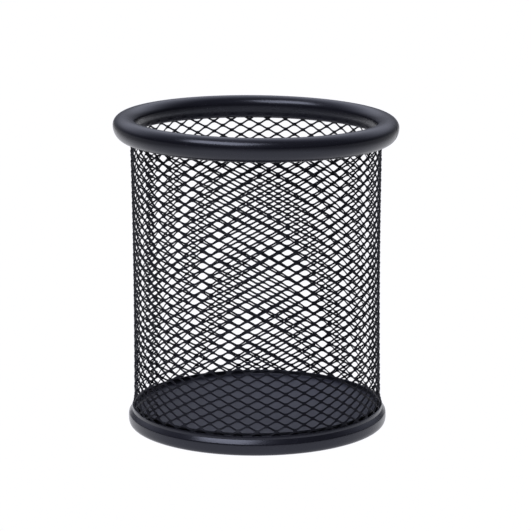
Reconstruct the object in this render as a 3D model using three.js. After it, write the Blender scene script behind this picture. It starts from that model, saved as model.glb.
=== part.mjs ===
// Pen cup of expanded steel mesh, in millimetres, +Z up.
// Four pressed-steel pieces: a floor pan, a channel-shaped base ring that clasps
// the foot of the mesh round the pan, the mesh wall, and a curled tubular top rim.
// The origin is the centre of the circle that the cup stands on.

import * as THREE from "three";

// Driving dimensions
const CUP_HEIGHT = 101.1;
const RIM_OUTER_DIAMETER = 91;
const RIM_TUBE_RADIUS = 3.75;
const STRIP_THICKNESS = 0.5; // sheet of the rim, base ring and floor pan
const FLOOR_HEIGHT = 5.5; // top of the floor, where the pens stand
const CLEARANCE = 0.3; // between pieces that touch

// Mesh wall: a sheet wrapped into a tube, drawn in slightly at mid height
const WALL_TOP_RADIUS = 39.85; // these three are to the middle of the sheet
const WALL_WAIST_RADIUS = 39.33;
const WALL_FOOT_RADIUS = 39.6;
const WALL_THICKNESS = 0.6;
const WALL_FOOT_Z = 1.5;
const WALL_TOP_Z = 95.6;
const CELLS_ROUND = 21; // twice the pitch of the real mesh, which has 41
const CELL_ROWS = 13;
const HEM_HEIGHT = 1.6; // unpierced band at each edge of the sheet
const OPENING_WIDTH_SHARE = 0.78; // of the distance between junctions
const OPENING_HEIGHT_SHARE = 0.8;

// Top rim: the flange inside the mesh, and the angles at which the tube starts and ends
const RIM_FLANGE_FOOT_DROP = 3.4; // below the tube's centre
const RIM_FLANGE_HEAD_DROP = 2.1;
const RIM_CURL_START = 198; // degrees, anticlockwise from straight outwards
const RIM_CURL_END = -108;

// Base ring: a channel whose outer leg swells out as a skirt
const BASE_WIDEST_RADIUS = 41.7;
const BASE_WIDEST_Z = 2.1;
const BASE_LIP_HEIGHT = 6.4;
const BASE_HEEL_RADIUS = 0.5;
const INNER_LEG_MID_RADIUS = 37.75;

// Floor pan: a shallow dish, its edge turned up inside the foot of the mesh
const PAN_CORNER_RADIUS = 0.6; // on the inside of the bend
const PAN_FLANGE_TOP_Z = 7;

const RING_SEGMENTS = 60;
const ARC_STEP = 18; // degrees
const SKIRT_STEPS = 4;

// Sizes that follow from the wall and the floor
const halfStrip = STRIP_THICKNESS / 2;
const wallToStrip = WALL_THICKNESS / 2 + CLEARANCE + halfStrip; // from middle to middle
const baseLipMidRadius = WALL_FOOT_RADIUS + wallToStrip;
const panFlangeMidRadius = WALL_FOOT_RADIUS - wallToStrip;
const rimFlangeMidRadius = WALL_TOP_RADIUS - wallToStrip;
const innerLegTopZ = FLOOR_HEIGHT - STRIP_THICKNESS - CLEARANCE;

const powderCoat = (colour, roughness) =>
  new THREE.MeshStandardMaterial({ color: colour, roughness, metalness: 0.1 });

// Points on an arc from one angle to another, in degrees, both ends included.
function arc(centreR, centreZ, radius, fromDegrees, toDegrees) {
  const steps = Math.ceil(Math.abs(toDegrees - fromDegrees) / ARC_STEP);
  return Array.from({ length: steps + 1 }, (_, i) => {
    const a = THREE.MathUtils.degToRad(
      THREE.MathUtils.lerp(fromDegrees, toDegrees, i / steps),
    );
    return new THREE.Vector2(centreR + radius * Math.cos(a), centreZ + radius * Math.sin(a));
  });
}

// The closed section of a sheet-metal strip that follows a middle line. Its corners
// are mitred, so that every straight stretch keeps its full thickness.
function stripSection(middleLine, thickness) {
  const normals = middleLine.slice(1).map((p, i) => {
    const along = p.clone().sub(middleLine[i]).normalize();
    return new THREE.Vector2(-along.y, along.x);
  });
  const offset = (side) =>
    middleLine.map((p, i) => {
      const before = normals[Math.max(i - 1, 0)];
      const after = normals[Math.min(i, normals.length - 1)];
      const mitre = before.clone().add(after).divideScalar(1 + before.dot(after));
      return mitre.multiplyScalar((side * thickness) / 2).add(p);
    });
  return [...offset(1), ...offset(-1).reverse()];
}

// A ring that a closed section sweeps round the Z axis.
function ringFrom(section) {
  const loop = THREE.ShapeUtils.isClockWise(section) ? [...section].reverse() : [...section];
  return new THREE.LatheGeometry([...loop, loop[0].clone()], RING_SEGMENTS).rotateX(Math.PI / 2);
}

// The curled strip: a short flange inside the mesh, then a tube over its edge.
function topRimSection() {
  const centreR = RIM_OUTER_DIAMETER / 2 - RIM_TUBE_RADIUS;
  const centreZ = CUP_HEIGHT - RIM_TUBE_RADIUS;
  const flangeFoot = new THREE.Vector2(rimFlangeMidRadius, centreZ - RIM_FLANGE_FOOT_DROP);
  const flangeHead = new THREE.Vector2(rimFlangeMidRadius, centreZ - RIM_FLANGE_HEAD_DROP);
  const curl = arc(centreR, centreZ, RIM_TUBE_RADIUS - halfStrip, RIM_CURL_START, RIM_CURL_END);
  return stripSection([flangeFoot, flangeHead, ...curl], STRIP_THICKNESS);
}

// The channel: a swelling outer leg, a rolled foot and an upright inner leg.
function baseRingSection() {
  const widestMid = BASE_WIDEST_RADIUS - halfStrip;
  const footRadius = BASE_WIDEST_Z - halfStrip;
  const skirt = new THREE.CubicBezierCurve(
    new THREE.Vector2(baseLipMidRadius, BASE_LIP_HEIGHT),
    new THREE.Vector2(baseLipMidRadius + 0.5, BASE_LIP_HEIGHT - 1.1),
    new THREE.Vector2(widestMid, BASE_WIDEST_Z + 1.9),
    new THREE.Vector2(widestMid, BASE_WIDEST_Z),
  ).getPoints(SKIRT_STEPS);
  const foot = arc(widestMid - footRadius, BASE_WIDEST_Z, footRadius, 0, -90).slice(1);
  const heelR = INNER_LEG_MID_RADIUS + BASE_HEEL_RADIUS;
  const heel = arc(heelR, halfStrip + BASE_HEEL_RADIUS, BASE_HEEL_RADIUS, -90, -180);
  const legTop = new THREE.Vector2(INNER_LEG_MID_RADIUS, innerLegTopZ);
  return stripSection([...skirt, ...foot, ...heel, legTop], STRIP_THICKNESS);
}

// The pan: a flat disc with a rounded corner and a flange turned up.
function floorPan() {
  const flangeOuter = panFlangeMidRadius + halfStrip;
  const flangeInner = panFlangeMidRadius - halfStrip;
  const cornerR = flangeInner - PAN_CORNER_RADIUS;
  const cornerZ = FLOOR_HEIGHT + PAN_CORNER_RADIUS;
  const section = [
    new THREE.Vector2(0, FLOOR_HEIGHT - STRIP_THICKNESS),
    ...arc(cornerR, cornerZ, PAN_CORNER_RADIUS + STRIP_THICKNESS, -90, 0),
    new THREE.Vector2(flangeOuter, PAN_FLANGE_TOP_Z),
    new THREE.Vector2(flangeInner, PAN_FLANGE_TOP_Z),
    ...arc(cornerR, cornerZ, PAN_CORNER_RADIUS, 0, -90),
    new THREE.Vector2(0, FLOOR_HEIGHT),
  ];
  return new THREE.LatheGeometry(section, RING_SEGMENTS).rotateX(Math.PI / 2);
}

// Radius of the middle of the wall's sheet at a height: a parabola each way from the waist.
function wallRadius(z) {
  const middle = (WALL_FOOT_Z + WALL_TOP_Z) / 2;
  const share = (z - middle) / (WALL_TOP_Z - middle);
  const endRadius = share < 0 ? WALL_FOOT_RADIUS : WALL_TOP_RADIUS;
  return THREE.MathUtils.lerp(WALL_WAIST_RADIUS, endRadius, share * share);
}

// The mesh wall. Junctions stand on a staggered grid, and a diamond opening lies
// between each four of them. A junction has a west, south, east and north corner,
// and a strand joins the facing corners of two junctions.
function meshWall() {
  const columns = 2 * CELLS_ROUND;
  const rows = 2 * CELL_ROWS;
  const columnAngle = (2 * Math.PI) / columns;
  const rowHeight = (WALL_TOP_Z - WALL_FOOT_Z - 2 * HEM_HEIGHT) / rows;
  const halfWidth = (1 - OPENING_WIDTH_SHARE) * columnAngle;
  const halfHeight = (1 - OPENING_HEIGHT_SHARE) * rowHeight;
  const positions = [];
  const faces = [];

  // Each corner is a pair of vertices: the outer face's, then the inner face's.
  const corner = (angle, z) => {
    for (const side of [1, -1]) {
      const r = wallRadius(z) + (side * WALL_THICKNESS) / 2;
      positions.push(r * Math.cos(angle), r * Math.sin(angle), z);
    }
    return positions.length / 3 - 2;
  };
  // A quadrilateral on both faces of the sheet, anticlockwise from outside.
  const plate = (a, b, c, d) => {
    faces.push(a, b, c, a, c, d);
    faces.push(a + 1, c + 1, b + 1, a + 1, d + 1, c + 1);
  };
  // The cut edge of the sheet from a to b, with the metal on its left from outside.
  const cutEdge = (a, b) => {
    faces.push(a, a + 1, b + 1, a, b + 1, b);
  };

  const junctions = new Map();
  const at = (column, row) => junctions.get(`${(column + columns) % columns},${row}`);
  for (let row = 0; row <= rows; row++) {
    const z = WALL_FOOT_Z + HEM_HEIGHT + row * rowHeight;
    for (let column = row % 2; column < columns; column += 2) {
      const angle = column * columnAngle;
      junctions.set(`${column},${row}`, {
        column,
        row,
        west: corner(angle - halfWidth, z),
        east: corner(angle + halfWidth, z),
        south: row > 0 ? corner(angle, z - halfHeight) : null,
        north: row < rows ? corner(angle, z + halfHeight) : null,
      });
    }
  }

  for (const { column, row, west, east, south, north } of junctions.values()) {
    if (row > 0 && row < rows) plate(west, south, east, north);
    if (row === rows) continue;
    const right = at(column + 1, row + 1);
    const left = at(column - 1, row + 1);
    plate(north, east, right.south, right.west);
    cutEdge(right.west, north);
    cutEdge(east, right.south);
    plate(west, north, left.east, left.south);
    cutEdge(north, left.east);
    cutEdge(left.south, west);
  }

  // The unpierced hems, from each junction of the end rows round to the next.
  for (const row of [0, rows]) {
    const isFoot = row === 0;
    const foldZ = WALL_FOOT_Z + HEM_HEIGHT + row * rowHeight;
    const edgeZ = isFoot ? WALL_FOOT_Z : WALL_TOP_Z;
    const strip = (a, b, edgeA, edgeB) => {
      if (isFoot) plate(edgeA, edgeB, b, a);
      else plate(a, b, edgeB, edgeA);
      if (isFoot) cutEdge(edgeA, edgeB);
      else cutEdge(edgeB, edgeA);
    };
    const stations = [];
    for (let column = 0; column < columns; column += 2) {
      const { west, east, south, north } = at(column, row);
      const angle = column * columnAngle;
      const point = isFoot ? north : south;
      if (isFoot) faces.push(west, east, point, west + 1, point + 1, east + 1);
      else faces.push(west, point, east, west + 1, east + 1, point + 1);
      stations.push([west, corner(angle - halfWidth, edgeZ), false]);
      stations.push([east, corner(angle + halfWidth, edgeZ), true]);
      const middle = angle + columnAngle;
      stations.push([corner(middle, foldZ), corner(middle, edgeZ), true]);
    }
    stations.forEach(([a, edgeA, bordersOpening], i) => {
      const [b, edgeB] = stations[(i + 1) % stations.length];
      strip(a, b, edgeA, edgeB);
      if (!bordersOpening) return;
      if (isFoot) cutEdge(b, a);
      else cutEdge(a, b);
    });
  }

  const geometry = new THREE.BufferGeometry();
  geometry.setAttribute("position", new THREE.Float32BufferAttribute(positions, 3));
  geometry.setIndex(faces);
  geometry.computeVertexNormals();
  return geometry;
}

const cup = new THREE.Group();
function add(name, geometry, material) {
  const mesh = new THREE.Mesh(geometry, material);
  mesh.name = name;
  cup.add(mesh);
}

add("top_rim", ringFrom(topRimSection()), powderCoat(0x24242a, 0.38));
add("mesh_wall", meshWall(), powderCoat(0x1c1c20, 0.5));
add("base_ring", ringFrom(baseRingSection()), powderCoat(0x24242a, 0.38));
add("floor_pan", floorPan(), powderCoat(0x2a2b31, 0.48));

export default cup;
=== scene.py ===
"""Pen cup of expanded steel mesh: fine meshes, powder-coat materials, camera and light
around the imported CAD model. Lengths are metres, and values given in millimetres are
multiplied by MM. Angles round the cup run from +Y towards +X."""

import math

import bmesh
import bpy
import numpy as np
from mathutils import Matrix, Vector


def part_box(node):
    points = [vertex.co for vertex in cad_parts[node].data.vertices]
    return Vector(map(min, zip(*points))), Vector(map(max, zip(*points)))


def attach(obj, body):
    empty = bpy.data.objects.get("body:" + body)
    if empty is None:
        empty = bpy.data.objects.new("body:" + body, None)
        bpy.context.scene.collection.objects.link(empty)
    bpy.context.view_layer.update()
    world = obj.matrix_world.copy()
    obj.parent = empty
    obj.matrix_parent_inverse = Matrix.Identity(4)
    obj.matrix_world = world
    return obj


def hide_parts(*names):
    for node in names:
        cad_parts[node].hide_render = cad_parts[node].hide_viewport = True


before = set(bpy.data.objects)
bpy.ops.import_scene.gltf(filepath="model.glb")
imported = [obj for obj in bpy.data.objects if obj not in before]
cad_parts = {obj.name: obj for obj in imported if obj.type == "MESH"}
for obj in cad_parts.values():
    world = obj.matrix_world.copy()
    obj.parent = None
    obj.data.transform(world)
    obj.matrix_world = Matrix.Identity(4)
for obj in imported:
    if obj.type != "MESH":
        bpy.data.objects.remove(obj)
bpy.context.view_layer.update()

MM = 0.001

# Places read from the CAD frame
RIM_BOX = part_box("top_rim")
BASE_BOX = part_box("base_ring")
PAN_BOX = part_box("floor_pan")
RIM_RADIUS = RIM_BOX[1][0]
CUP_HEIGHT = RIM_BOX[1][2]
BASE_RADIUS = BASE_BOX[1][0]

# All three formed pieces are strips of the same sheet steel.
STRIP = 0.5 * MM
SHARP_EDGE = math.radians(40)

# Top rim: its tube is a little egg-shaped, and it sits slightly out of level, lower on
# the +X side. The flange under it stands inside the mesh.
RIM_TILT = 0.015
TUBE_WIDTH = 3.55 * MM
TUBE_RISE = 3.0 * MM
TUBE_FALL = 4.5 * MM
RIM_CENTRE = RIM_RADIUS - TUBE_WIDTH
RIM_CENTRE_Z = CUP_HEIGHT - TUBE_RISE - RIM_CENTRE * RIM_TILT
CURL_FROM_DEGREES = 196
CURL_TO_DEGREES = -108
CURL_POINTS = 58
FLANGE_RADIUS = 38.95 * MM
FLANGE_FOOT_Z = 94.0 * MM
FLANGE_BELOW_CURL = 0.75 * MM
CREASE_SHIFT = (0.02 * MM, 0.06 * MM)
FLANGE_DENTS = 41
DENT_DEPTH = 0.16 * MM
DENT_ABOVE_FOOT = 0.45 * MM
DENT_SPREAD = 0.4 * MM
RIM_JOINT_ANGLE = math.radians(103)
JOINT_WIDTH = 0.22 * MM
JOINT_DEPTH = 0.12 * MM
RIM_STEPS = 410

# Base ring: radii and heights along the middle of its strip
COLLAR_RADIUS = 40.3 * MM
COLLAR_TOP_Z = 6.15 * MM
COLLAR_FOOT_Z = 5.3 * MM
BEVEL_TOP = (COLLAR_RADIUS + 0.1 * MM, 5.02 * MM)
BEVEL_FOOT = (41.32 * MM, 3.92 * MM)
WIDEST = (BASE_RADIUS - STRIP / 2, 2.3 * MM)
UNDERSIDE_RADIUS = 39.4 * MM
HEEL_RADIUS = 37.75 * MM
HEEL_BEND = 0.5 * MM
HEEL_BELOW_PAN = 0.25 * MM
BASE_STEPS = 256

# Floor pan: a dish
FLOOR_Z = PAN_BOX[0][2] + STRIP
PAN_CORNER = 0.6 * MM
PAN_RINGS = 24
PAN_STEPS = 192
MERGE_WITHIN = 0.001 * MM

# Expanded mesh: a sheet of staggered knuckles, rolled round with its ends lapped.
# Columns are half diamonds counted from the knuckle nearest the camera, and rows are
# half diamonds counted up from it. The back of the cup is at column BACK_COLUMN, where
# the sheet's pitch, lean and height differ a little from the front's.
HALF_COLUMN = 0.0759
ROW_HEIGHT = 1.6744 * MM
BACK_COLUMN = -42
BACK_STRETCH = 0.025
BACK_ROW_HEIGHT = 1.6838 * MM
BACK_DROP = 0.582 * MM
FRONT_NODE_ANGLE = 3.2080
FRONT_NODE_Z = 22.75 * MM
LEAN_FRONT = 0.0135
LEAN_BACK = 0.0285
LEAN_SPAN = 50 * MM
SKEW = 0.0406 * MM
STRAND_WIDTH = 0.56 * MM
STRAND_THICKNESS = 0.28 * MM
STRAND_TILT = math.radians(-24)
STRAND_STEPS = 4
STRAND_EASE = 0.5
STRAND_SHARP_EDGE = math.radians(35)
KNUCKLE_LENGTH = 0.7 * MM
CROTCH_FILL = 0.18 * MM
WALL_TOP_Z = 97.0 * MM
WALL_FOOT_Z = 1.4 * MM

# The sheet's two ends, as columns, and how its start leans and laps over its end
SHEET_START = -72.3
SHEET_START_LEAN = 1.1
START_LEAN_FROM_Z = 35 * MM
START_LEAN_HEIGHT = 55 * MM
SHEET_END = 13.35
LAP_OFFSET = 0.3 * MM
LAP_BLEND = 9

# The tube that the sheet is rolled to: waisted, and bulging over the base ring
UNROLLED_RADIUS = 39.6 * MM
WAIST_RADIUS = 39.33 * MM
WAIST_Z = 45 * MM
FLARE = 0.5 * MM
FLARE_SPAN = 50 * MM
BULGE = 0.3 * MM
BULGE_Z = 6.9 * MM
BULGE_SPREAD = 1.5 * MM

# Derived sizes of the mesh
COLUMN_WIDTH = HALF_COLUMN * UNROLLED_RADIUS
HALF_KNUCKLE = KNUCKLE_LENGTH / 2
LEVELS = {"low": -STRAND_WIDTH, "mid": 0, "high": STRAND_WIDTH}
# seen from outside, columns grow towards the left
WEST, EAST = 1, -1

# Stage, light and camera
STUDIO_WHITE = (1.0, 1.0, 1.04, 1)
SKY_COLOUR = (1.0, 1.03, 1.2, 1)
FLOOR_DIM = 0.3
FLOOR_HALF_SIZE = 6
FLOOR_GAP = 0.0001
KEY_DIRECTION = (-0.321, -0.383, 0.866)
KEY_TARGET = (0, 0, 0.05)
KEY_DISTANCE = 1.4
KEY_SIZE = (1.0, 0.75)
KEY_RADIANCE = 5.4
KEY_COLOUR = (0.96, 0.97, 1.05)
LENS_MM = 181.9546
SENSOR_MM = 36
CAMERA_PLACE = (0, -0.8420, 0.2383)
CAMERA_ELEVATION = math.radians(12.568)
AIM_RIGHT = 0.0033
AIM_UP = 0.0013
CAMERA_ROLL = -0.0036


# ---------------------------------------------------------------- shared geometry


def smooth(x):
    return x * x * (3 - 2 * x)


def round_z(angle, radius, z):
    return np.stack([radius * np.sin(angle), radius * np.cos(angle), z], axis=-1)


def mesh_object(name, points, faces, material, sharp_edge):
    mesh = bpy.data.meshes.new(name)
    mesh.from_pydata([tuple(p) for p in points], [], faces)
    mesh.update()
    mesh.materials.append(material)
    mesh.shade_smooth()
    mesh.set_sharp_from_angle(angle=sharp_edge)
    piece = bpy.data.objects.new(name, mesh)
    bpy.context.scene.collection.objects.link(piece)
    return piece


def revolve(name, section, steps, material, shape=None, extra=()):
    """A ring swept from a closed section of (radius, z) points. shape may move them by
    angle, and extra adds angles to the even ones."""
    section = np.asarray(section, float)
    count = len(section)
    angles = np.arange(steps) * 2 * math.pi / steps
    angles = np.unique(np.concatenate([angles, extra]))
    steps = len(angles)
    points = []
    for a in angles:
        ring = section if shape is None else shape(section.copy(), a)
        points.append(round_z(np.full(count, a), ring[:, 0], ring[:, 1]))
    faces = []
    for i in range(steps):
        j = (i + 1) % steps
        for k in range(count):
            m = (k + 1) % count
            faces.append((i * count + k, j * count + k, j * count + m, i * count + m))
    return mesh_object(name, np.concatenate(points), faces, material, SHARP_EDGE)


def close_centre(piece):
    """Merges the points that meet on the axis, so that a disc has no hole."""
    shape = bmesh.new()
    shape.from_mesh(piece.data)
    bmesh.ops.remove_doubles(shape, verts=shape.verts, dist=MERGE_WITHIN)
    shape.to_mesh(piece.data)
    shape.free()


def arc(centre, radius, start, stop, steps):
    a = np.radians(np.linspace(start, stop, steps + 1))
    return np.stack([centre[0] + radius * np.cos(a), centre[1] + radius * np.sin(a)], -1)


def bezier(p0, p1, p2, p3, steps):
    t = np.linspace(0, 1, steps + 1)[:, None]
    p0, p1, p2, p3 = (np.asarray(p, float) for p in (p0, p1, p2, p3))
    near_start = (1 - t) ** 3 * p0 + 3 * (1 - t) ** 2 * t * p1
    near_end = 3 * (1 - t) * t**2 * p2 + t**3 * p3
    return near_start + near_end


def directions(path):
    """Unit directions of a path's segments, and their normals to the left."""
    along = np.diff(path, axis=0)
    along /= np.linalg.norm(along, axis=1)[:, None]
    return along, np.stack([-along[:, 1], along[:, 0]], -1)


def mitres(normal, first, last):
    """Offsets at a path's points that keep its segments one unit away from it. first and
    last are the normals before its start and after its end."""
    before = np.vstack([first, normal])
    after = np.vstack([normal, last])
    return (before + after) / (1 + (before * after).sum(1))[:, None]


def strip_section(middle):
    """Closed section of a sheet-steel strip along a middle line, with rounded ends."""
    middle = np.asarray(middle, float)
    along, normal = directions(middle)
    half = STRIP / 2
    offset = mitres(normal, normal[:1], normal[-1:]) * half
    turns = np.radians([45, 90, 135])

    def cap(end, n, d):
        return [end + half * (math.cos(a) * n + math.sin(a) * d) for a in turns]

    far_cap = cap(middle[-1], normal[-1], along[-1])
    near_cap = cap(middle[0], -normal[0], -along[0])
    return np.vstack([middle + offset, far_cap, (middle - offset)[::-1], near_cap])


# ---------------------------------------------------------------- material nodes


def set_socket(tree, socket, value):
    if isinstance(value, (int, float, tuple)):
        socket.default_value = value
    else:
        tree.links.new(value, socket)


def math_node(tree, operation, *values):
    node = tree.nodes.new("ShaderNodeMath")
    node.operation = operation
    for socket, value in zip(node.inputs, values):
        set_socket(tree, socket, value)
    return node.outputs["Value"]


def map_range(tree, value, start, stop, low=0, high=1, kind="LINEAR"):
    node = tree.nodes.new("ShaderNodeMapRange")
    node.interpolation_type = kind
    node.inputs["From Min"].default_value = start
    node.inputs["From Max"].default_value = stop
    node.inputs["To Min"].default_value = low
    node.inputs["To Max"].default_value = high
    tree.links.new(value, node.inputs["Value"])
    return node.outputs["Result"]


def mix_colours(tree, factor, a, b):
    node = tree.nodes.new("ShaderNodeMix")
    node.data_type = "RGBA"
    set_socket(tree, node.inputs["Factor"], factor)
    set_socket(tree, node.inputs["A"], a)
    set_socket(tree, node.inputs["B"], b)
    return node.outputs["Result"]


def noise(tree, coordinates, scale, detail, stretch=(1, 1, 1)):
    place = tree.nodes.new("ShaderNodeMapping")
    place.inputs["Scale"].default_value = stretch
    tree.links.new(coordinates, place.inputs["Vector"])
    texture = tree.nodes.new("ShaderNodeTexNoise")
    texture.inputs["Scale"].default_value = scale
    texture.inputs["Detail"].default_value = detail
    tree.links.new(place.outputs["Vector"], texture.inputs["Vector"])
    return texture.outputs["Fac"]


def axis_of(tree, vector, axis):
    split = tree.nodes.new("ShaderNodeSeparateXYZ")
    tree.links.new(vector, split.inputs["Vector"])
    return split.outputs[axis]


# ---------------------------------------------------------------- powder coat

CLOUD_RANGE = (0.3, 0.7)
TINT_SPREAD = 0.2
GLOSS_SPREAD = 0.03
SPECK_SHARE = 0.5
SCUFF_SHARE = 0.14
SCUFF_ROUGHNESS = 0.1
FINE_SHARE = 0.35
BUMP_STRENGTH = 0.16
BUMP_DISTANCE = 0.08 * MM


def powder_coat(name, colour, roughness, grain=1.0, painted_shade_top_colour=None, specular=0.5):
    """Satin powder coat: uneven tint and gloss, orange peel, fine grain, specks of dust
    and a few scuffs. Its textures sit in object space. A colour given for level faces is
    painted on them only, so that upright faces stay darker: painted shade."""
    material = bpy.data.materials.new(name)
    material.use_nodes = True
    tree = material.node_tree
    shader = tree.nodes["Principled BSDF"]
    shader.inputs["IOR"].default_value = 1.5
    shader.inputs["Specular IOR Level"].default_value = specular
    shader.inputs["Specular Tint"].default_value = (0.8, 0.84, 1.0, 1)
    place = tree.nodes.new("ShaderNodeTexCoord").outputs["Object"]

    cloud = noise(tree, place, 45, 5)
    speck = map_range(tree, noise(tree, place, 2600, 2), 0.70, 0.76)
    scuff = map_range(tree, noise(tree, place, 160, 6, (1, 1, 7)), 0.66, 0.74)
    peel = noise(tree, place, 900, 2)
    fine = noise(tree, place, 5200, 3)

    darker = (*[c * (1 - TINT_SPREAD) for c in colour], 1)
    lighter = (*[c * (1 + TINT_SPREAD) for c in colour], 1)
    worn = (*[min(1, c * 4 + 0.02) for c in colour], 1)
    coat = mix_colours(tree, map_range(tree, cloud, *CLOUD_RANGE), darker, lighter)
    # Painted shade: faces that look up take the lighter colour, and upright faces such as a
    # turned-up flange keep the darker coat.
    if painted_shade_top_colour is not None:
        normal = tree.nodes.new("ShaderNodeNewGeometry").outputs["Normal"]
        level = map_range(tree, axis_of(tree, normal, "Z"), 0.6, 0.95)
        coat = mix_colours(tree, level, coat, (*painted_shade_top_colour, 1))
    specks = math_node(tree, "MULTIPLY", speck, SPECK_SHARE)
    scuffs = math_node(tree, "MULTIPLY", scuff, SCUFF_SHARE)
    marks = math_node(tree, "ADD", specks, scuffs)
    tree.links.new(mix_colours(tree, marks, coat, worn), shader.inputs["Base Color"])

    glossy, matt = roughness - GLOSS_SPREAD, roughness + GLOSS_SPREAD
    gloss = map_range(tree, cloud, *CLOUD_RANGE, glossy, matt)
    scuffed = math_node(tree, "MULTIPLY", scuff, SCUFF_ROUGHNESS)
    tree.links.new(math_node(tree, "ADD", gloss, scuffed), shader.inputs["Roughness"])

    grains = math_node(tree, "MULTIPLY", fine, FINE_SHARE * grain)
    bump = tree.nodes.new("ShaderNodeBump")
    bump.inputs["Strength"].default_value = BUMP_STRENGTH * grain
    bump.inputs["Distance"].default_value = BUMP_DISTANCE
    tree.links.new(math_node(tree, "ADD", peel, grains), bump.inputs["Height"])
    tree.links.new(bump.outputs["Normal"], shader.inputs["Normal"])
    return material


# ---------------------------------------------------------------- mesh wall


def to_back(column):
    """0 at the front of the cup, 1 at its back."""
    return smooth(np.clip(column / BACK_COLUMN, 0, 1))


def sheet_angle(column, z):
    share = to_back(column)
    lean = LEAN_FRONT + (LEAN_BACK - LEAN_FRONT) * share
    height = (z - LEAN_SPAN) / LEAN_SPAN
    return FRONT_NODE_ANGLE + HALF_COLUMN * column + BACK_STRETCH * share - lean * height


def sheet_height(column, row):
    share = to_back(column)
    row_height = ROW_HEIGHT + (BACK_ROW_HEIGHT - ROW_HEIGHT) * share
    return FRONT_NODE_Z + row * row_height + SKEW * column - BACK_DROP * share


def wall_radius(z):
    """Radius of the middle of the mesh sheet."""
    flare = FLARE * ((z - WAIST_Z) / FLARE_SPAN) ** 2
    bulge = BULGE * np.exp(-(((z - BULGE_Z) / BULGE_SPREAD) ** 2))
    return WAIST_RADIUS + flare + bulge


def lap_shift(column):
    """How far the sheet stands out of the mean tube: its start laps over its end."""
    start = np.clip(1 - (column - SHEET_START) / LAP_BLEND, 0, 1)
    end = np.clip(1 - (SHEET_END - column) / LAP_BLEND, 0, 1)
    return LAP_OFFSET * (smooth(start) - smooth(end))


def sheet_start(z):
    """The cut line at the start of the sheet leans a little towards the top."""
    rise = np.clip((z - START_LEAN_FROM_Z) / START_LEAN_HEIGHT, 0, 1)
    return SHEET_START + SHEET_START_LEAN * smooth(rise)


def in_height(column, row):
    return WALL_FOOT_Z <= sheet_height(column, row) <= WALL_TOP_Z


def in_sheet(column, row):
    z = sheet_height(column, row)
    return in_height(column, row) and sheet_start(z) <= column <= SHEET_END


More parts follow.
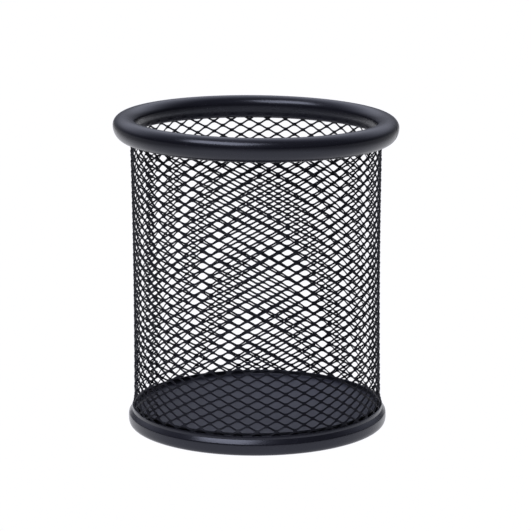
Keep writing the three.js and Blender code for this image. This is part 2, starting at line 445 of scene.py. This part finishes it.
class ExpandedSheet:
    """The sheet as pairs of an outer and an inner point. Knuckles stand on a staggered
    grid of columns and rows; each is a tilted plate two strand widths tall, and tilted
    strands join it to its four neighbours."""

    def __init__(self):
        self.points = []
        self.faces = []
        self.knuckles = {}
        t = np.linspace(0, 1, STRAND_STEPS + 1)
        self.climb = (1 - STRAND_EASE) * t + STRAND_EASE * smooth(t)
        self.run = HALF_KNUCKLE + (COLUMN_WIDTH - KNUCKLE_LENGTH) * t
        # the strand's path across its own thickness, for the offsets of its two faces
        fall = -ROW_HEIGHT * math.sin(STRAND_TILT) * self.climb
        _, normal = directions(np.stack([self.run, fall], -1))
        outward = np.array([[0.0, 1.0]])
        self.offset = mitres(normal, outward, outward) * STRAND_THICKNESS / 2

    def pair(self, column, row, du, along, step, lean):
        """Two points du along the sheet and, up its tilted metal, along from a place on
        the grid. They are offset as at this step of a strand that leans -1, 0 or 1."""
        shift = self.offset[step][0] * lean
        out = self.offset[step][1]
        cos_t, sin_t = math.cos(STRAND_TILT), math.sin(STRAND_TILT)
        made = []
        for face in (1, -1):
            place = column + (du + face * shift) / COLUMN_WIDTH
            z = sheet_height(place, row) + along * cos_t - face * out * sin_t
            self.points.append((place, z, along * sin_t + face * out * cos_t))
            made.append(len(self.points) - 1)
        return tuple(made)

    def plate(self, a, b, c, d):
        """Both faces between four pairs, anticlockwise from outside."""
        self.faces.append((a[0], b[0], c[0], d[0]))
        self.faces.append((a[1], d[1], c[1], b[1]))

    def edge(self, a, b):
        """The cut edge from a to b, with the metal on its left seen from outside."""
        self.faces.append((a[0], a[1], b[1], b[0]))

    def add_knuckle(self, column, row):
        knuckle = {}
        for side in (EAST, WEST):
            for level, along in LEVELS.items():
                du = side * (HALF_KNUCKLE + (CROTCH_FILL if level == "mid" else 0))
                # the strand to the upper row falls, the one to the lower row rises
                lean = {"mid": 0, "high": side, "low": -side}[level]
                knuckle[side, level] = self.pair(column, row, du, along, 0, lean)
        self.knuckles[column, row] = knuckle

    def fill_knuckle(self, knuckle):
        west = {level: knuckle[WEST, level] for level in LEVELS}
        east = {level: knuckle[EAST, level] for level in LEVELS}
        self.plate(west["mid"], east["mid"], east["high"], west["high"])
        self.edge(east["high"], west["high"])
        self.plate(west["low"], east["low"], east["mid"], west["mid"])
        self.edge(west["low"], east["low"])

    def join(self, lows, highs, side):
        """A strand's faces and edges between its lower and upper rows of pairs."""
        for j in range(len(lows) - 1):
            if side == EAST:
                self.plate(lows[j], lows[j + 1], highs[j + 1], highs[j])
                self.edge(lows[j], lows[j + 1])
                self.edge(highs[j + 1], highs[j])
            else:
                self.plate(lows[j + 1], lows[j], highs[j], highs[j + 1])
                self.edge(lows[j + 1], lows[j])
                self.edge(highs[j], highs[j + 1])

    def strand(self, column, row, side, rise, levels, steps):
        """The rows of pairs of a strand that leaves a knuckle between two of its levels,
        as far as the given step."""
        rows = []
        for level in levels:
            pairs = [self.knuckles[column, row][side, level]]
            for j in range(1, steps + 1):
                along = LEVELS[level] - rise * self.climb[j] * STRAND_WIDTH
                height = row + rise * self.climb[j]
                du = side * self.run[j]
                pairs.append(self.pair(column, height, du, along, j, side * rise))
            rows.append(pairs)
        return rows

    def cut_strand(self, column, row, side, rise):
        """A strand cut through by an end of the sheet, and none at its top or foot."""
        steps = 0
        if in_height(column + side, row + rise):
            z = sheet_height(column, row + rise / 2)
            limit = SHEET_END - column if side == WEST else column - sheet_start(z)
            share = HALF_KNUCKLE / COLUMN_WIDTH
            reach = np.clip((limit - share) / (1 - 2 * share), 0, 1)
            steps = int(reach * STRAND_STEPS)
        levels = ("mid", "high") if rise == 1 else ("low", "mid")
        lows, highs = self.strand(column, row, side, rise, levels, steps)
        self.join(lows, highs, side)
        if side == EAST:
            self.edge(lows[-1], highs[-1])
        else:
            self.edge(highs[-1], lows[-1])

    def whole_strand(self, column, row, side):
        lows, highs = self.strand(column, row, side, 1, ("mid", "high"), STRAND_STEPS - 1)
        far = self.knuckles[column + side, row + 1]
        lows.append(far[-side, "low"])
        highs.append(far[-side, "mid"])
        self.join(lows, highs, side)

    def rolled(self):
        """The points with the sheet rolled into its lapped tube."""
        column, z, out = np.array(self.points).T
        radius = wall_radius(z) + out + lap_shift(column)
        return round_z(sheet_angle(column, z), radius, z)


def build_mesh_wall(material):
    sheet = ExpandedSheet()
    first_row = math.floor((WALL_FOOT_Z - sheet_height(SHEET_END, 0)) / ROW_HEIGHT)
    last_row = math.ceil((WALL_TOP_Z - sheet_height(SHEET_START, 0)) / ROW_HEIGHT)
    for row in range(first_row, last_row + 1):
        for column in range(math.floor(SHEET_START), math.ceil(SHEET_END) + 1):
            if (column + row) % 2 == 0 and in_sheet(column, row):
                sheet.add_knuckle(column, row)
    for (column, row), knuckle in sheet.knuckles.items():
        sheet.fill_knuckle(knuckle)
        for side in (WEST, EAST):
            for rise in (1, -1):
                if (column + side, row + rise) not in sheet.knuckles:
                    sheet.cut_strand(column, row, side, rise)
        for side in (WEST, EAST):
            if (column + side, row + 1) in sheet.knuckles:
                sheet.whole_strand(column, row, side)
    points = sheet.rolled()
    return mesh_object("expanded_mesh_wall", points, sheet.faces, material, STRAND_SHARP_EDGE)


# ---------------------------------------------------------------- formed strips


def rim_section():
    """A flange that stands inside the mesh, a crease, and the curled tube over it."""
    half = STRIP / 2
    turn = np.radians(np.linspace(CURL_FROM_DEGREES, CURL_TO_DEGREES, CURL_POINTS))
    height = np.where(np.sin(turn) > 0, TUBE_RISE, TUBE_FALL) - half
    curl_radius = RIM_CENTRE + (TUBE_WIDTH - half) * np.cos(turn)
    curl = np.stack([curl_radius, RIM_CENTRE_Z + height * np.sin(turn)], -1)
    flange_z = np.linspace(FLANGE_FOOT_Z, curl[0][1] - FLANGE_BELOW_CURL, 7)
    flange = np.stack([np.full(len(flange_z), FLANGE_RADIUS), flange_z], -1)
    crease = (flange[-1] + curl[0]) / 2 + np.array(CREASE_SHIFT)
    return strip_section(np.vstack([flange, crease[None], curl]))


def shape_rim(ring, angle):
    """Dents where the flange is pressed into the mesh, and the strip's butt joint."""
    r, z = ring[:, 0], ring[:, 1]
    off_joint = angle - RIM_JOINT_ANGLE
    pitch = max(0.0, math.cos(FLANGE_DENTS * off_joint)) ** 2
    near_foot = np.exp(-(((z - FLANGE_FOOT_Z - DENT_ABOVE_FOOT) / DENT_SPREAD) ** 2))
    on_flange = r < FLANGE_RADIUS + STRIP
    r -= DENT_DEPTH * pitch * near_foot * on_flange
    groove = JOINT_DEPTH * math.exp(-((off_joint * RIM_CENTRE / JOINT_WIDTH) ** 2))
    from_centre = np.hypot(r - RIM_CENTRE, z - RIM_CENTRE_Z)
    outer_face = from_centre > TUBE_WIDTH - STRIP * 0.6
    scale = np.where(outer_face, 1 - groove / from_centre, 1)
    ring[:, 0] = RIM_CENTRE + (r - RIM_CENTRE) * scale
    ring[:, 1] = RIM_CENTRE_Z + (z - RIM_CENTRE_Z) * scale
    return ring


def build_rim(material):
    joint_angles = RIM_JOINT_ANGLE + np.linspace(-2, 2, 17) * JOINT_WIDTH / RIM_CENTRE
    rim = revolve(
        "curled_top_rim", rim_section(), RIM_STEPS, material, shape_rim, joint_angles
    )
    for vertex in rim.data.vertices:
        vertex.co.z -= vertex.co.x * RIM_TILT
    return rim


def base_section():
    """A channel: an upright collar round the mesh, a bevel, a skirt, a rolled foot and a
    heel that stands up inside the mesh."""
    half = STRIP / 2
    collar = (COLLAR_RADIUS, COLLAR_TOP_Z)
    collar_foot = (COLLAR_RADIUS, COLLAR_FOOT_Z)
    rounding = bezier(
        collar_foot,
        (COLLAR_RADIUS, COLLAR_FOOT_Z - 0.12 * MM),
        (COLLAR_RADIUS + 0.03 * MM, COLLAR_FOOT_Z - 0.2 * MM),
        BEVEL_TOP,
        5,
    )
    skirt = bezier(BEVEL_FOOT, (41.44 * MM, 3.77 * MM), (WIDEST[0], 3.1 * MM), WIDEST, 10)
    foot = bezier(
        WIDEST, (WIDEST[0], 0.95 * MM), (41.0 * MM, half), (UNDERSIDE_RADIUS, half), 12
    )[1:]
    heel = arc((HEEL_RADIUS + HEEL_BEND, half + HEEL_BEND), HEEL_BEND, -90, -180, 5)
    heel_top = (HEEL_RADIUS, FLOOR_Z - STRIP - HEEL_BELOW_PAN)
    return strip_section(np.vstack([collar, rounding, skirt, foot, heel, heel_top]))


def pan_section():
    """A dish: the flat floor, a small corner and a flange turned up inside the mesh."""
    outer = PAN_BOX[1][0]
    top = PAN_BOX[1][2]
    corner = (outer - STRIP - PAN_CORNER, FLOOR_Z + PAN_CORNER)
    radii = np.linspace(0, corner[0], PAN_RINGS)[:-1]
    upper = np.stack([radii[::-1], np.full(len(radii), FLOOR_Z)], -1)
    lower = np.stack([radii, np.full(len(radii), FLOOR_Z - STRIP)], -1)
    outside = arc(corner, PAN_CORNER + STRIP, -90, 0, 10)
    lip = arc((outer - STRIP / 2, top - STRIP / 2), STRIP / 2, 0, 180, 6)
    inside = arc(corner, PAN_CORNER, 0, -90, 8)
    return np.vstack([lower, outside, lip, inside, upper])[::-1]


# ---------------------------------------------------------------- stage, light, camera


def pale_floor():
    """A glowing white sweep: no lamp lights it, and its own emission stands in for light. The
    glow is even round the cup and behind it, dimmer at the front, at the sides and far away."""
    material = bpy.data.materials.new("pale_floor")
    material.use_nodes = True
    tree = material.node_tree
    shader = tree.nodes["Principled BSDF"]
    shader.inputs["Base Color"].default_value = (0, 0, 0, 1)
    shader.inputs["Roughness"].default_value = 1
    shader.inputs["Specular IOR Level"].default_value = 0
    shader.inputs["Emission Color"].default_value = STUDIO_WHITE
    place = tree.nodes.new("ShaderNodeTexCoord").outputs["Object"]
    x = axis_of(tree, place, "X")
    y = axis_of(tree, place, "Y")

    def lit_until(value, start, stop):
        return map_range(tree, value, start, stop, 1, 0, "SMOOTHSTEP")

    lit_front = lit_until(math_node(tree, "MULTIPLY", y, -1), 0.17, 0.5)
    sideways = math_node(tree, "ABSOLUTE", x)
    lit_side = lit_until(math_node(tree, "MULTIPLY_ADD", y, -0.12, sideways), 0.13, 0.34)
    lit_back = lit_until(y, 1.2, 1.6)
    lit = math_node(tree, "MULTIPLY", lit_front, lit_side)
    lit = math_node(tree, "MULTIPLY", lit, lit_back)
    strength = math_node(tree, "MULTIPLY_ADD", lit, 1 - FLOOR_DIM, FLOOR_DIM)
    tree.links.new(strength, shader.inputs["Emission Strength"])
    return material


def add_floor():
    half = FLOOR_HALF_SIZE
    corners = [(-half, -half, 0), (half, -half, 0), (half, half, 0), (-half, half, 0)]
    mesh = bpy.data.meshes.new("floor")
    mesh.from_pydata(corners, [], [(0, 1, 2, 3)])
    mesh.materials.append(pale_floor())
    floor = bpy.data.objects.new("floor", mesh)
    floor.location.z = -FLOOR_GAP
    bpy.context.scene.collection.objects.link(floor)
    return floor


def add_studio():
    """Soft light from the world: brightest high up behind the cup, faint at the horizon
    and in front."""
    world = bpy.data.worlds.new("studio")
    bpy.context.scene.world = world
    world.use_nodes = True
    tree = world.node_tree
    way = tree.nodes.new("ShaderNodeTexCoord").outputs["Generated"]
    behind = map_range(tree, axis_of(tree, way, "Y"), -0.1, 0.9, 0.1, 1, "SMOOTHSTEP")
    above = map_range(tree, axis_of(tree, way, "Z"), 0.12, 0.5, 0.16, 1, "SMOOTHSTEP")
    background = tree.nodes["Background"]
    background.inputs["Color"].default_value = SKY_COLOUR
    strength = math_node(tree, "MULTIPLY", behind, above)
    tree.links.new(strength, background.inputs["Strength"])


def add_key_softbox():
    light = bpy.data.lights.new("key_softbox", "AREA")
    light.shape = "RECTANGLE"
    light.size, light.size_y = KEY_SIZE
    light.energy = KEY_RADIANCE * math.pi * light.size * light.size_y
    light.color = KEY_COLOUR
    lamp = bpy.data.objects.new("key_softbox", light)
    way = Vector(KEY_DIRECTION).normalized()
    lamp.location = Vector(KEY_TARGET) + way * KEY_DISTANCE
    lamp.rotation_euler = way.to_track_quat("Z", "Y").to_euler()
    bpy.context.scene.collection.objects.link(lamp)


def add_camera():
    data = bpy.data.cameras.new("camera")
    data.lens = LENS_MM
    data.sensor_width = SENSOR_MM
    data.clip_start = 0.05
    camera = bpy.data.objects.new("camera", data)
    forward = Vector((0, math.cos(CAMERA_ELEVATION), -math.sin(CAMERA_ELEVATION)))
    right = Vector((1, 0, 0))
    above = right.cross(forward)
    forward = (forward + AIM_RIGHT * right + AIM_UP * above).normalized()
    right = forward.cross(Vector((0, 0, 1))).normalized()
    above = right.cross(forward)
    side = math.cos(CAMERA_ROLL) * right + math.sin(CAMERA_ROLL) * above
    top = -math.sin(CAMERA_ROLL) * right + math.cos(CAMERA_ROLL) * above
    turn = Matrix((side, top, -forward)).transposed()
    camera.matrix_world = Matrix.Translation(CAMERA_PLACE) @ turn.to_4x4()
    bpy.context.scene.collection.objects.link(camera)
    bpy.context.scene.camera = camera


# ---------------------------------------------------------------- the cup on its stage

rim_coat = powder_coat("powder_coat_rim", (0.009, 0.009, 0.014), 0.25, 0.7)
mesh_coat = powder_coat("powder_coat_mesh", (0.006, 0.006, 0.009), 0.5, specular=0.3)
# The pan's level floor is painted lighter than its upright flange, which keeps the darker
# coat as painted shade.
pan_coat = powder_coat(
    "powder_coat_pan", (0.010, 0.010, 0.014), 0.42, 1.8, painted_shade_top_colour=(0.041, 0.043, 0.064)
)

wall = build_mesh_wall(mesh_coat)
rim = build_rim(rim_coat)
base = revolve("rolled_base_ring", base_section(), BASE_STEPS, rim_coat)
pan = revolve("pressed_floor_pan", pan_section(), PAN_STEPS, pan_coat)
close_centre(pan)

for piece, node, slot in (
    (wall, "mesh_wall", "mesh_coat"),
    (rim, "top_rim", "rim_coat"),
    (base, "base_ring", "rim_coat"),
    (pan, "floor_pan", "pan_coat"),
):
    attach(piece, "root")
    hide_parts(node)

floor = add_floor()
add_studio()
add_key_softbox()
add_camera()
bpy.context.scene.view_settings.view_transform = "Standard"
bpy.context.scene.view_settings.look = "None"
